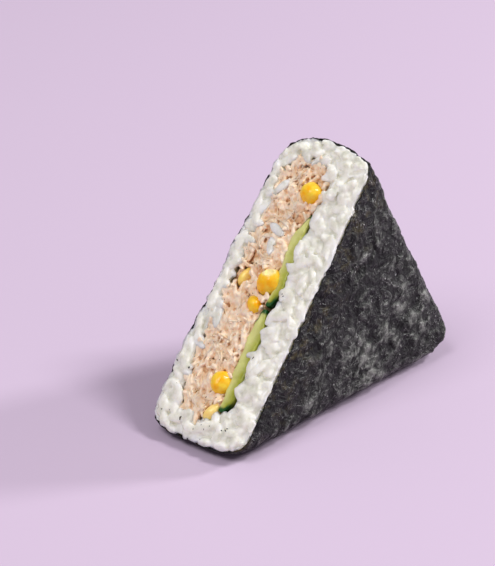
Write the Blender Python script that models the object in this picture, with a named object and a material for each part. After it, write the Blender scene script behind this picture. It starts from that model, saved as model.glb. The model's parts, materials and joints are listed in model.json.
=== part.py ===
"""A cut rice ball: a rounded triangular block of rice in a nori wrap, sliced so that its filling shows.

Units are metres, +Z is up. The piece stands on its narrow base. X runs along the base from the foot of
the cut to the far corner, Y runs across the thickness, and the cut face leans back over the piece.
The shapes are laid out from the foot of the cut, and the finished piece is then centred on its base.
"""
import math

import bmesh
import bpy
from mathutils import Matrix, Vector, noise

MM = 0.001

# Driving dimensions of the ball.
BASE_LENGTH = 82.0 * MM          # from the foot of the cut to the sharp point of the far corner
HEIGHT = 63.0 * MM               # of the whole ball: the cut takes the peak off
THICKNESS_LOW = 29.4 * MM        # between the crowns of the two triangular faces, at the base
THICKNESS_HIGH = 25.8 * MM       # and at the apex
FACE_CROWN = 0.8 * MM            # how far the middle of a triangular face swells beyond its edge
FAR_ANGLE = math.radians(60.3)
NEAR_ANGLE = math.radians(60.0)  # this corner is cut away
APEX_RADIUS = 13.3 * MM
CORNER_RADIUS = 7.0 * MM

# The cut: a plane through the foot at X = 0.
CUT_ANGLE = math.radians(50.0)   # between the cut face and the base
CUT_YAW = math.radians(0.8)      # how far the cut strays from square to the triangular faces
KNIFE_LENGTH = 100.0 * MM
KNIFE_WIDTH = 42.0 * MM
KNIFE_DEPTH = 40.0 * MM
KNIFE_START = -10.0 * MM

# Rounding between a triangular face and the narrow sides: inset on the face, depth on the side.
FRONT_ROUND = (4.6 * MM, 9.4 * MM)
FRONT_APEX_ROUND = (4.0 * MM, 11.0 * MM)
BACK_ROUND = (5.3 * MM, 6.8 * MM)
BACK_APEX_ROUND = (8.3 * MM, 8.4 * MM)
APEX_ROUND_HEIGHT = 20.0 * MM    # the apex rounding takes over within this stretch below the top
SMALLEST_ROUND = 1.0 * MM
EDGE_STEPS = 4
CROWN_RINGS = (0.78, 0.52, 0.26)

NORI_THICKNESS = 0.5 * MM
CLEARANCE = 0.3 * MM             # kept between neighbouring pieces

# Unevenness: pressed rice shows through the wrap, and the cut face is bumpy with grains.
WRAP_LUMP_SIZE = 11.0 * MM
WRAP_LUMP_HEIGHT = 0.5 * MM
WRAP_LUMP_SEED = 3.1
FLAT_FOOT_HEIGHT = 5.0 * MM      # lumps fade out below this, so that the foot stays flat
GRAIN_SIZE = 3.2 * MM
GRAIN_STRETCH = 1.6              # grains lie longer up the cut than across it
GRAIN_HEIGHT = 1.0 * MM
DOME_LEVEL = 0.6                 # average height of packed domes that reach from 0 to 1
RICE_PROUD = 0.5 * MM            # the rice stands this far out of the wrap's cut edge
RICE_SWELL = 0.6 * MM            # and this much more towards the middle of the cut
RICE_STEP = 2.3 * MM             # spacing of the facets on the cut

# The filling is a layer that runs through the ball at this margin from the outline.
FILLING_MARGIN = 5.2 * MM
FILLING_FRONT = -3.4 * MM        # Y of the layer's two faces
FILLING_BACK = 9.2 * MM
FILLING_ROUND = 5.4 * MM
FILLING_ROUND_STEPS = 4
FILLING_REACH = 28.0 * MM        # from the layer's middle to its outline, about
FILLING_WAVE_SIZE = 9.0 * MM
FILLING_WAVE_HEIGHT = 1.1 * MM
FILLING_WAVE_SEED = 7.7
FLAKE_SIZE = 3.4 * MM
FLAKE_HEIGHT = 0.8 * MM
FILLING_PROUD = 0.1 * MM
FILLING_STEP = 2.2 * MM

# Cucumber rounds, seen edge on at the cut: place up the cut, Y, depth of the centre behind the cut,
# diameter and thickness in mm, and tilt in degrees.
CUCUMBER_SLICES = {
    "cucumber_upper": (47.2, -3.2, 0.5, 22.4, 2.7, 5.9),
    "cucumber_lower": (23.2, -4.0, 0.5, 24.4, 3.1, 2.6),
}
CUCUMBER_EDGE = 0.6 * MM
CUCUMBER_SIDES = 36
CUCUMBER_PROUD = 0.4 * MM

# Corn kernels: place up the cut, Y, depth of the centre behind the cut, then half length up the
# cut, half width and half depth in mm, and roll about the cut's normal in degrees.
CORN_KERNELS = {
    "corn_1": (62.8, -0.9, 1.0, 2.7, 2.5, 2.8, 20.0),
    "corn_2": (41.3, -0.8, 1.0, 3.3, 2.7, 3.0, -15.0),
    "corn_3": (35.6, 0.5, 1.5, 2.2, 2.0, 2.4, 40.0),
    "corn_4": (17.1, -0.5, 1.0, 2.7, 2.5, 2.9, 5.0),
    "corn_5": (10.3, -1.4, 1.6, 3.0, 1.7, 3.0, -20.0),
    "corn_6": (40.8, 6.2, 1.7, 3.2, 1.7, 2.7, -10.0),
}
KERNEL_SEGMENTS = 12
KERNEL_RINGS = 7
KERNEL_TAPER = 0.25              # the tip end, which points into the ball, is narrower

COLOURS = {                      # base colour, roughness
    "nori": ((0.012, 0.013, 0.011, 1.0), 0.55),
    "rice": ((0.80, 0.79, 0.75, 1.0), 0.40),
    "tuna": ((0.62, 0.40, 0.27, 1.0), 0.50),
    "cucumber": ((0.45, 0.58, 0.20, 1.0), 0.35),
    "corn": ((0.90, 0.50, 0.02, 1.0), 0.30),
}

# Axes of the cut face: up along it, across it, and out of it.
CUT_FRAME = Matrix.Rotation(CUT_YAW, 4, "Z") @ Matrix((
    (math.cos(CUT_ANGLE), 0.0, -math.sin(CUT_ANGLE), 0.0),
    (0.0, 1.0, 0.0, 0.0),
    (math.sin(CUT_ANGLE), 0.0, math.cos(CUT_ANGLE), 0.0),
    (0.0, 0.0, 0.0, 1.0),
))


def clear_scene():
    for obj in list(bpy.data.objects):
        bpy.data.objects.remove(obj, do_unlink=True)


def make_material(name):
    colour, roughness = COLOURS[name]
    material = bpy.data.materials.new(name)
    material.use_nodes = True
    shader = material.node_tree.nodes["Principled BSDF"]
    shader.inputs["Base Color"].default_value = colour
    shader.inputs["Roughness"].default_value = roughness
    shader.inputs["Metallic"].default_value = 0.0
    return material


def add_object(name, form, material=None):
    """Turn a bmesh into an object. Without a material it is a cutter, which isn't part of the piece."""
    mesh = bpy.data.meshes.new(name)
    form.to_mesh(mesh)
    form.free()
    obj = bpy.data.objects.new(name, mesh)
    bpy.context.scene.collection.objects.link(obj)
    if material:
        mesh.materials.append(material)
        mesh.shade_smooth()
    else:
        obj.hide_render = True
        obj.display_type = "WIRE"
    return obj


def cut_away(obj, *cutters):
    """Take the cutters out of an object, all at once."""
    group = bpy.data.collections.new("cutters of " + obj.name)
    for cutter in cutters:
        group.objects.link(cutter)
    boolean = obj.modifiers.new("cut", "BOOLEAN")
    boolean.operation = "DIFFERENCE"
    boolean.solver = "EXACT"
    boolean.operand_type = "COLLECTION"
    boolean.collection = group


def smooth_step(value):
    value = min(max(value, 0.0), 1.0)
    return value * value * (3.0 - 2.0 * value)


def noise_at(place, size, seed):
    return noise.noise(place / size + Vector((seed, 2.0 * seed, -seed)))


def domes_at(place, size):
    """Rounded bumps from 0 in the clefts to 1 on the crowns, as on packed grains or flakes."""
    to_nearest_crown = noise.voronoi(place / size)[0][0]
    return max(1.0 - to_nearest_crown ** 2, 0.0)


def loft(rings, first_pole, last_pole):
    """A closed bmesh through rings of places, closed by a fan to a pole at each end."""
    form = bmesh.new()
    rows = [[form.verts.new(place) for place in ring] for ring in rings]
    first, last = form.verts.new(first_pole), form.verts.new(last_pole)
    count = len(rows[0])
    neighbours = [(i, (i + 1) % count) for i in range(count)]
    for row, above in zip(rows, rows[1:]):
        for i, j in neighbours:
            form.faces.new((row[i], above[i], above[j], row[j]))
    for i, j in neighbours:
        form.faces.new((first, rows[0][i], rows[0][j]))
        form.faces.new((last, rows[-1][j], rows[-1][i]))
    bmesh.ops.recalc_face_normals(form, faces=form.faces)
    return form


def direction(angle):
    return Vector((math.cos(angle), math.sin(angle)))


def arc(centre, radius, start, end, steps):
    """Points and outward normals along a round corner of the outline."""
    normals = [direction(start + (end - start) * step / steps) for step in range(steps + 1)]
    return [(centre + normal * radius, normal) for normal in normals]


def straight(start, end, normal, steps):
    """Points between two corners, without the ends."""
    return [(start.lerp(end, step / steps), normal) for step in range(1, steps)]


def ball_outline():
    """The triangular outline in X and Z, counter-clockwise, as points with outward normals."""
    down = -math.pi / 2
    far, near = math.pi / 2 - FAR_ANGLE, math.pi / 2 + NEAR_ANGLE
    far_normal, near_normal = direction(far), direction(near)
    far_line = far_normal.x * BASE_LENGTH
    far_centre = Vector(((far_line - CORNER_RADIUS * (1 + far_normal.y)) / far_normal.x, CORNER_RADIUS))
    apex_z = HEIGHT - APEX_RADIUS
    apex_centre = Vector(((far_line - APEX_RADIUS - far_normal.y * apex_z) / far_normal.x, apex_z))
    near_line = near_normal.dot(apex_centre) + APEX_RADIUS
    near_centre = Vector(((near_line - CORNER_RADIUS * (1 + near_normal.y)) / near_normal.x,
                          CORNER_RADIUS))
    far_corner = arc(far_centre, CORNER_RADIUS, down, far, 6)
    apex = arc(apex_centre, APEX_RADIUS, far, near, 9)
    near_corner = arc(near_centre, CORNER_RADIUS, near, 2 * math.pi + down, 6)
    far_side = straight(far_corner[-1][0], apex[0][0], far_normal, 8)
    near_side = straight(apex[-1][0], near_corner[0][0], near_normal, 6)
    base = straight(near_corner[-1][0], far_corner[0][0], direction(down), 8)
    return far_corner + far_side + apex + near_side + near_corner + base


def middle_of(outline):
    return sum((point for point, _ in outline), Vector((0.0, 0.0))) / len(outline)


def edge_rounding(z, side, shrink):
    """Inset and depth of the edge rounding at height z on the front (side -1) or the back (side 1)."""
    plain, apex = (FRONT_ROUND, FRONT_APEX_ROUND) if side < 0 else (BACK_ROUND, BACK_APEX_ROUND)
    share = smooth_step((z - HEIGHT + APEX_ROUND_HEIGHT) / APEX_ROUND_HEIGHT)
    return [max(low + (high - low) * share - shrink, SMALLEST_ROUND) for low, high in zip(plain, apex)]


def half_thickness(z):
    """From the middle plane to the edge of a triangular face at height z."""
    return (THICKNESS_LOW + (THICKNESS_HIGH - THICKNESS_LOW) * z / HEIGHT) / 2 - FACE_CROWN


def half_ball_rings(outline, middle, side, shrink):
    """Rings from the narrow sides up over one triangular face, each a row of places."""
    columns = []
    for point, normal in outline:
        inset, depth = edge_rounding(point.y, side, shrink)
        half = half_thickness(point.y) - shrink
        column = []
        for step in range(EDGE_STEPS + 1):
            angle = math.pi / 2 * step / EDGE_STEPS
            place = point - normal * (shrink + inset * (1 - math.cos(angle)))
            column.append((place, half - depth * (1 - math.sin(angle))))
        for ring in CROWN_RINGS:
            place = middle.lerp(column[EDGE_STEPS][0], ring)
            swell = FACE_CROWN * (1 - ring * ring)
            column.append((place, half_thickness(place.y) - shrink + swell))
        columns.append([Vector((place.x, side * across, place.y)) for place, across in column])
    return [list(ring) for ring in zip(*columns)]


def press_lumps(form):
    """Low lumps all over the ball, where rice presses on the wrap, with the foot left flat."""
    form.normal_update()
    for vert in form.verts:
        fade = smooth_step(vert.co.z / FLAT_FOOT_HEIGHT)
        lump = noise_at(vert.co, WRAP_LUMP_SIZE, WRAP_LUMP_SEED)
        vert.co += vert.normal * (WRAP_LUMP_HEIGHT * fade * lump)


def ball_form(shrink):
    """The whole ball, all round smaller by shrink."""
    outline = ball_outline()
    middle = middle_of(outline)
    front = half_ball_rings(outline, middle, -1, shrink)
    back = half_ball_rings(outline, middle, 1, shrink)
    crown = half_thickness(middle.y) - shrink + FACE_CROWN
    poles = [Vector((middle.x, side * crown, middle.y)) for side in (-1, 1)]
    form = loft(front[::-1] + back, *poles)
    press_lumps(form)
    return form


def knife(name, surface_height, step):
    """A block that takes away what lies outside the cut. Its face follows surface_height(up, across)."""
    columns = round(KNIFE_LENGTH / step)
    rows = round(KNIFE_WIDTH / step)
    form = bmesh.new()
    grid = []
    for column in range(columns + 1):
        up = KNIFE_START + KNIFE_LENGTH * column / columns
        line = []
        for row in range(rows + 1):
            across = KNIFE_WIDTH * (row / rows - 0.5)
            line.append(form.verts.new((up, across, surface_height(up, across))))
        grid.append(line)
    for line, beyond in zip(grid, grid[1:]):
        for row in range(rows):
            form.faces.new((line[row], beyond[row], beyond[row + 1], line[row + 1]))
    block = bmesh.ops.extrude_face_region(form, geom=form.faces[:])["geom"]
    for vert in block:
        if isinstance(vert, bmesh.types.BMVert):
            vert.co.z = KNIFE_DEPTH
    bmesh.ops.recalc_face_normals(form, faces=form.faces)
    form.transform(CUT_FRAME)
    return add_object(name, form)


def rice_height(up, across):
    """The cut rice stands proud of the wrap and is bumpy with grains."""
    share = min(abs(across) / (THICKNESS_LOW / 2), 1.0)
    swell = RICE_SWELL * (1 - share ** 4)
    grains = domes_at(Vector((up / GRAIN_STRETCH, across, 0.0)), GRAIN_SIZE) - DOME_LEVEL
    return RICE_PROUD + swell + GRAIN_HEIGHT * grains


def tuna_height(up, across):
    flakes = domes_at(Vector((up, across, FLAKE_SIZE)), FLAKE_SIZE) - DOME_LEVEL
    return FILLING_PROUD + FLAKE_HEIGHT * flakes


def filling_form(grow):
    """The layer of tuna, thicker all round by grow, uncut. Its outline keeps a margin of rice."""
    outline = ball_outline()[::2]
    middle = middle_of(outline)
    half = (FILLING_BACK - FILLING_FRONT) / 2
    centre_y = (FILLING_BACK + FILLING_FRONT) / 2
    rings = []
    for side in (-1, 1):
        steps = range(FILLING_ROUND_STEPS + 1)
        for step in steps if side > 0 else reversed(steps):
            angle = math.pi / 2 * step / FILLING_ROUND_STEPS
            scale = 1 - FILLING_ROUND * (1 - math.cos(angle)) / FILLING_REACH
            across = half - FILLING_ROUND * (1 - math.sin(angle)) + grow * math.sin(angle)
            ring = []
            for point, normal in outline:
                place = middle.lerp(point - normal * FILLING_MARGIN, scale) + normal * grow
                ring.append(Vector((place.x, centre_y + side * across, place.y)))
            rings.append(ring)
    poles = [Vector((middle.x, centre_y + side * (half + grow), middle.y)) for side in (-1, 1)]
    form = loft(rings, *poles)
    long_edges = [edge for edge in form.edges if edge.calc_length() > FILLING_WAVE_SIZE / 3]
    bmesh.ops.subdivide_edges(form, edges=long_edges, cuts=1, use_grid_fill=True)
    for vert in form.verts:
        wave = noise_at(Vector((vert.co.x, 0.0, vert.co.z)), FILLING_WAVE_SIZE, FILLING_WAVE_SEED)
        vert.co.y += FILLING_WAVE_HEIGHT * wave * smooth_step((vert.co.y - centre_y) / half)
    return form


def slice_through(form, proud):
    """Cut a form flat along the cut, or as far outside it as proud says."""
    everything = form.verts[:] + form.edges[:] + form.faces[:]
    out = CUT_FRAME.col[2].to_3d()
    cut = bmesh.ops.bisect_plane(form, geom=everything, dist=1e-7, plane_co=out * proud,
                                 plane_no=out, clear_outer=True)["geom_cut"]
    rim = [edge for edge in cut if isinstance(edge, bmesh.types.BMEdge)]
    bmesh.ops.contextual_create(form, geom=rim)
    bmesh.ops.recalc_face_normals(form, faces=form.faces)


def cucumber_slice(name, material=None):
    """One round of cucumber, with its edge at the cut. Without a material it is grown into a cutter."""
    up, across, behind, diameter, thickness, tilt = CUCUMBER_SLICES[name]
    grow = 0.0 if material else CLEARANCE
    radius = diameter * MM / 2 + grow
    form = bmesh.new()
    bmesh.ops.create_cone(form, cap_ends=True, segments=CUCUMBER_SIDES, radius1=radius, radius2=radius,
                          depth=thickness * MM + 2 * grow)
    rims = [edge for edge in form.edges if abs(edge.verts[0].co.z - edge.verts[1].co.z) < CUCUMBER_EDGE]
    bmesh.ops.bevel(form, geom=rims, offset=CUCUMBER_EDGE, segments=2, affect="EDGES", profile=0.5)
    upright = Matrix.Rotation(math.pi / 2, 4, "X")
    lean = Matrix.Rotation(math.radians(tilt), 4, "Z")
    place = Matrix.Translation(Vector((up, across, -behind)) * MM)
    form.transform(CUT_FRAME @ place @ lean @ upright)
    if material:
        slice_through(form, CUCUMBER_PROUD)
    return add_object(name if material else name + "_pocket", form, material)


def corn_kernel(name, material=None):
    """One kernel, its round crown out of the cut. Without a material it is grown into a cutter."""
    up, across, behind, half_length, half_width, half_depth, roll = CORN_KERNELS[name]
    grow = 0.0 if material else CLEARANCE / MM
    sizes = Vector((half_length, half_width, half_depth)) + Vector((grow, grow, grow))
    rings = []
    for ring in range(1, KERNEL_RINGS):
        angle = math.pi * ring / KERNEL_RINGS
        height = math.cos(angle)
        width = math.sin(angle) * (1 + KERNEL_TAPER * (height - 1) / 2)
        turns = [2 * math.pi * step / KERNEL_SEGMENTS for step in range(KERNEL_SEGMENTS)]
        rings.append([Vector((math.cos(turn) * width * sizes.x, math.sin(turn) * width * sizes.y,
                              height * sizes.z)) * MM for turn in turns])
    pole = Vector((0.0, 0.0, sizes.z)) * MM
    form = loft(rings, pole, -pole)
    place = Matrix.Translation(Vector((up, across, -behind)) * MM)
    form.transform(CUT_FRAME @ place @ Matrix.Rotation(math.radians(roll), 4, "Z"))
    return add_object(name if material else name + "_pocket", form, material)


def centre_on_base(pieces):
    """Hang everything from one empty, placed so that the pieces' box is centred over the origin."""
    graph = bpy.context.evaluated_depsgraph_get()
    places = [vert.co for piece in pieces for vert in piece.evaluated_get(graph).data.vertices]
    middle = [(min(place[axis] for place in places) + max(place[axis] for place in places)) / 2
              for axis in (0, 1)]
    holder = bpy.data.objects.new("rice_ball", None)
    holder.location = (-middle[0], -middle[1], 0.0)
    bpy.context.scene.collection.objects.link(holder)
    for obj in bpy.data.objects:
        if obj is not holder:
            obj.parent = holder


def build():
    clear_scene()
    materials = {name: make_material(name) for name in COLOURS}
    flat_knife = knife("flat_knife", lambda up, across: 0.0, KNIFE_WIDTH)
    rice_knife = knife("rice_knife", rice_height, RICE_STEP)
    tuna_knife = knife("tuna_knife", tuna_height, FILLING_STEP)

    nori = add_object("nori", ball_form(0.0), materials["nori"])
    inside = add_object("inside_of_wrap", ball_form(NORI_THICKNESS))
    cut_away(nori, inside, flat_knife)

    kernel_pockets = []
    for name in CORN_KERNELS:
        corn_kernel(name, materials["corn"])
        kernel_pockets.append(corn_kernel(name))
    slice_pockets = []
    for name in CUCUMBER_SLICES:
        slice_of_cucumber = cucumber_slice(name, materials["cucumber"])
        cut_away(slice_of_cucumber, *kernel_pockets)
        slice_pockets.append(cucumber_slice(name))
    pockets = slice_pockets + kernel_pockets
    tuna = add_object("tuna_filling", filling_form(0.0), materials["tuna"])
    cut_away(tuna, tuna_knife, *pockets)

    rice = add_object("rice", ball_form(NORI_THICKNESS + CLEARANCE), materials["rice"])
    tuna_pocket = add_object("tuna_pocket", filling_form(CLEARANCE))
    cut_away(rice, rice_knife, tuna_pocket, *pockets)
    centre_on_base([nori, rice])


build()
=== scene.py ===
"""The looks of a cut rice ball: its nori wrap, packed rice grains, tuna, cucumber and sweetcorn.

Units are metres, +Z is up. Every place is worked out from the frame: the cut face gives the axes
(up the cut, across it, out of it), and each piece is made from, or scattered over, its own solid.
"""
import json
import math
import random

import bmesh
import bpy
from mathutils import Matrix, Vector, noise
from mathutils.bvhtree import BVHTree

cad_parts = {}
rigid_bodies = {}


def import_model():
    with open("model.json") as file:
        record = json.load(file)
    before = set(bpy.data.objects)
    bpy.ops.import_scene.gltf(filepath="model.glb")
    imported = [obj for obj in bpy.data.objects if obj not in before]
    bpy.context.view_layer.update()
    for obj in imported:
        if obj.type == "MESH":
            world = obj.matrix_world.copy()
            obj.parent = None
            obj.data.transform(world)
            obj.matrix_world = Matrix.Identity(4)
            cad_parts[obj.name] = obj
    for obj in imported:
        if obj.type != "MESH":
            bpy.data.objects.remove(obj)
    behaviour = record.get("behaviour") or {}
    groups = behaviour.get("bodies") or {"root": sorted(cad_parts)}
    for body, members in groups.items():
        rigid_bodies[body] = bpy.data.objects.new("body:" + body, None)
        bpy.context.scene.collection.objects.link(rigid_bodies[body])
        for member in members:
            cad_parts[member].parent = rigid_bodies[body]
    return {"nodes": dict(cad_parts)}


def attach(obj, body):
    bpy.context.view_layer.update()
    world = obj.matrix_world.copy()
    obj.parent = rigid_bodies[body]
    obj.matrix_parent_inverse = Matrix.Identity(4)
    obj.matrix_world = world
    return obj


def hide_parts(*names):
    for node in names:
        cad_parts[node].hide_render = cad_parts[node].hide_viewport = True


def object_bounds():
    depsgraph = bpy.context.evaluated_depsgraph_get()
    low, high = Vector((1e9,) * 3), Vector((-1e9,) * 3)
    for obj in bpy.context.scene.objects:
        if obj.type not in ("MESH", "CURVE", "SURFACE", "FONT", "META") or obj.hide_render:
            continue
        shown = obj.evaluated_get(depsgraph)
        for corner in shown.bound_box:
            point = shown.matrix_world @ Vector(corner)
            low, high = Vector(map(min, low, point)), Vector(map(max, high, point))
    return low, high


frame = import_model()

CAD_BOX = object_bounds()
MM = 0.001

# The vector noise starts from the time of day unless it is given a seed.
noise.seed_set(5)

# The camera, on a long lens.
CAMERA_AZIMUTH = math.radians(-48.17)
CAMERA_ELEVATION = math.radians(25.14)
CAMERA_TARGET = Vector((-15.33, 3.53, 31.13)) * MM
CAMERA_DISTANCE = 565.7 * MM
CAMERA_LENS = 165.4

FLOOR_SIZE = 3.0

# The wrap: a dry sheet that clings to the rice.
SHEET_THICKNESS = 0.28 * MM
SHEET_GRID = 0.34 * MM
SHEET_INSET = 0.35 * MM          # room for the relief inside the solid's outline
FOOT_FADE = (0.3 * MM, 3.5 * MM)  # relief fades in between these heights, so the foot stays flat
RIM_REACH = 3.0 * MM
BACK_LEAN = math.radians(38)     # the wrap's back edge leans this far, and the grains under it lie along it
RIM_TEAR = 0.30 * MM             # how deep the knife left the sheet's edge ragged
HIDDEN_SHARE = 0.56              # of the wrap's faces kept where its unseen inner side is thinned

# The rice: cooked short grains, packed in layers under the cut and sliced by a wet knife.
GRAIN_LENGTH = 5.6 * MM
GRAIN_WIDTH = 2.5 * MM
GRAIN_DEPTH = 2.2 * MM
RICE_GRID = 0.2 * MM
RICE_SHARE = 0.66                # of the rice's faces kept where its unseen underside is thinned
CORE_DROP = 2.0 * MM             # the core's top lies this far under the cut
BED_TOP = -0.05 * MM             # mashed rice fills the gaps between grains up to here
BED_FOOT = -1.9 * MM
KNIFE_PRESS = 0.38               # how much is left of what stood above the knife
RIM_GAP = 0.26 * MM              # from the rice to the outside of the sheet
RIM_BULGE = 1.1                  # rice swells this much over the rim for each unit above the cut
BULGE_LIMIT = 0.38 * MM
LAP = 1.1 * MM                   # rice in front of the cucumber laps over its edge this far

# Layers of rice from deep to shallow: tries, depth of the grains' middles in mm, lean, and in mm their
# spacing, how far up the cut they go and how far they keep from the sheet. The last is the whole grains
# that stand proud near the foot.
RICE_LAYERS = ((2400, -0.65, 26, 1.8, 78, 0.5), (3000, -0.35, 24, 1.9, 78, 0.5), (2600, -0.15, 14, 1.7, 78, 0.5),
               (2200, 0.02, 14, 2.1, 78, 0.5), (900, 0.50, 8, 2.7, 38, 1.9))

# Single grains that the knife dragged on to the tuna: up and across the cut in mm, and turn in degrees.
STRAY_GRAINS = ((52.8, 3.3, 70), (49.2, 2.7, 20), (62.4, 6.6, -30), (30.0, 7.6, 15))

CRUMB_SPECKS = 22                # crumbs of nori on the rice

# The tuna: crumbs by length, width and depth in mm and bend in degrees, mashed together, and loose fibres.
CRUMBS = ((1.9, 1.3, 1.0, 10), (2.7, 1.2, 0.9, -25), (1.2, 1.1, 0.8, 0), (3.6, 0.9, 0.8, 40))
CRUMB_COUNT = 1250
TUNA_GRID = 0.2 * MM
FIBRE_LEAN = 0.45                # most fibres lie this far off the way up the cut, in radians
FIBRE_COUNT = 120
FIBRE_STEPS = 8


# ---------------------------------------------------------------- modelling by hand

def only(piece):
    """Select one piece alone and make it active."""
    bpy.ops.object.select_all(action="DESELECT")
    piece.select_set(True)
    bpy.context.view_layer.objects.active = piece


def edit(piece, kind="FACE"):
    """Start editing a piece, with nothing selected."""
    only(piece)
    bpy.ops.object.mode_set(mode="EDIT")
    bpy.ops.mesh.select_mode(type=kind)
    bpy.ops.mesh.select_all(action="DESELECT")


def done():
    bpy.ops.object.mode_set(mode="OBJECT")


def pick(piece, kind, test):
    """While editing, select the verts, edges or faces that pass a test."""
    form = bmesh.from_edit_mesh(piece.data)
    for item in getattr(form, kind):
        item.select_set(test(item))
    form.select_flush_mode()
    bmesh.update_edit_mesh(piece.data)


def finish_with(piece, kind, **settings):
    """Add a modifier with its settings and apply it."""
    only(piece)
    modifier = piece.modifiers.new(kind.lower(), kind)
    for name, value in settings.items():
        setattr(modifier, name, value)
    bpy.ops.object.modifier_apply(modifier=modifier.name)


def copy_of(node, name):
    """A copy of a solid's mesh, with its loose triangles merged into one skin."""
    mesh = frame["nodes"][node].data.copy()
    mesh.materials.clear()
    piece = bpy.data.objects.new(name, mesh)
    bpy.context.scene.collection.objects.link(piece)
    edit(piece)
    bpy.ops.mesh.select_all(action="SELECT")
    bpy.ops.mesh.remove_doubles(threshold=0.005 * MM)
    done()
    return piece


def move_points(piece, amount):
    """Move every point along its normal by amount(place, normal)."""
    mesh = piece.data
    moves = [vert.normal * amount(vert.co, vert.normal) for vert in mesh.vertices]
    for vert, move in zip(mesh.vertices, moves):
        vert.co += move
    mesh.update()


def keep_in_box(piece):
    """No point of a finished piece lies outside the solids' box."""
    low, high = CAD_BOX
    for vert in piece.data.vertices:
        for axis in range(3):
            vert.co[axis] = min(max(vert.co[axis], low[axis]), high[axis])
    piece.data.update()


def scatter(name, models, places):
    """Copy the models to their places, each with its own tone, and join the copies into one piece."""
    copies = []
    for model, place, tone in places:
        copy = models[model].copy()
        copy.data = models[model].data.copy()
        bpy.context.scene.collection.objects.link(copy)
        copy.data.transform(place)
        tones = copy.data.attributes.new("tone", "FLOAT", "POINT")
        tones.data.foreach_set("value", [tone] * len(copy.data.vertices))
        copies.append(copy)
    only(copies[0])
    for copy in copies:
        copy.select_set(True)
    bpy.ops.object.join()
    copies[0].name = name
    copies[0].data.name = name
    return copies[0]


def join(piece, *others):
    """Join others into a piece."""
    only(piece)
    for other in others:
        other.select_set(True)
    bpy.ops.object.join()


def paint(piece, name, values):
    """Give each point of a piece a value that its material reads."""
    layer = piece.data.attributes.get(name) or piece.data.attributes.new(name, "FLOAT", "POINT")
    layer.data.foreach_set("value", values)


def discard(models):
    for model in models:
        bpy.data.objects.remove(model)


def show(piece, material, slot, *nodes):
    """A finished piece: its material, its body and the solids it stands for. The slot is not used."""
    keep_in_box(piece)
    piece.data.materials.clear()
    piece.data.materials.append(material)
    only(piece)
    bpy.ops.object.shade_smooth()
    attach(piece, "root")
    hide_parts(*nodes)
    return piece


# ---------------------------------------------------------------- reading the frame

def read_cut():
    """The frame of the cut, read from the flat rim of the wrap: up the cut, across and out of it."""
    planes = {}
    for face in frame["nodes"]["nori"].data.polygons:
        if face.normal.x < -0.3 and face.normal.z > 0.3:
            reach = face.normal.dot(face.center)
            key = tuple(round(value, 2) for value in (*face.normal, reach / MM))
            area, normal, total = planes.get(key, (0.0, Vector(), 0.0))
            planes[key] = (area + face.area, normal + face.normal * face.area,
                           total + reach * face.area)
    area, normal, total = max(planes.values(), key=lambda plane: plane[0])
    out = normal.normalized()
    foot = Vector((total / area / out.x, 0.0, 0.0))
    across = Vector((out.y, -out.x, 0.0)).normalized()
    up = across.cross(out)
    return Matrix.Translation(foot) @ Matrix((up, across, out)).transposed().to_4x4()


CUT = read_cut()
CUT_INVERSE = CUT.inverted()
OUT = CUT.col[2].to_3d()
FOOT = CUT.col[3].to_3d()


def tree_of(node):
    mesh = frame["nodes"][node].data
    return BVHTree.FromPolygons([vert.co.copy() for vert in mesh.vertices],
                                [tuple(face.vertices) for face in mesh.polygons])


TREES = {node: tree_of(node) for node in frame["nodes"]}
TOPPINGS = [node for node in frame["nodes"] if node.startswith(("corn", "cucumber"))]
PROBE = (CUT.to_3x3() @ Vector((0.31, 0.93, 0.17))).normalized()


def inside(node, place):
    """Whether a place lies in a solid: the first wall that a ray meets from there faces away."""
    hit, normal, _, _ = TREES[node].ray_cast(place, PROBE)
    return hit is not None and normal.dot(PROBE) > 0.0


def smooth_step(value, low=0.0, high=1.0):
    share = min(max((value - low) / (high - low), 0.0), 1.0)
    return share * share * (3.0 - 2.0 * share)


def noise_at(place, size, seed=0.0):
    return noise.noise(place / size + Vector((seed, 2.0 * seed, -seed)))


def domes_at(place, size):
    """Rounded bumps from 0 in the clefts to 1 on the crowns."""
    return max(1.0 - noise.voronoi(place / size)[0][0] ** 2, 0.0)


# ---------------------------------------------------------------- materials

def colour(code):
    """A linear colour from an sRGB hex code."""
    parts = [int(code[start:start + 2], 16) / 255 for start in (1, 3, 5)]
    return (*(part / 12.92 if part <= 0.04045 else ((part + 0.055) / 1.055) ** 2.4 for part in parts), 1.0)


def add(material, kind, inputs=None, stops=(), output=None, **settings):
    """Add a node with its settings. Each input is given a value or the output that feeds it. What comes
    back is the node's output of that name, or the first that it uses."""
    tree = material.node_tree
    node = tree.nodes.new("ShaderNode" + kind)
    for name, value in settings.items():
        setattr(node, name, value)
    for name, value in (inputs or {}).items():
        if isinstance(value, bpy.types.NodeSocket):
            tree.links.new(value, node.inputs[name])
        else:
            node.inputs[name].default_value = value
    for number, (position, code) in enumerate(stops):
        elements = node.color_ramp.elements
        element = elements[number] if number < len(elements) else elements.new(1.0)
        element.position = position
        element.color = colour(code)
    used = [socket for socket in node.outputs if not socket.is_unavailable]
    return node.outputs[output] if output else used[0] if used else None


def new_material(name):
    """An empty material, and the piece's own coordinates in metres."""
    material = bpy.data.materials.new(name)
    material.use_nodes = True
    material.node_tree.nodes.clear()
    return material, add(material, "TexCoord", output="Object")


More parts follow.
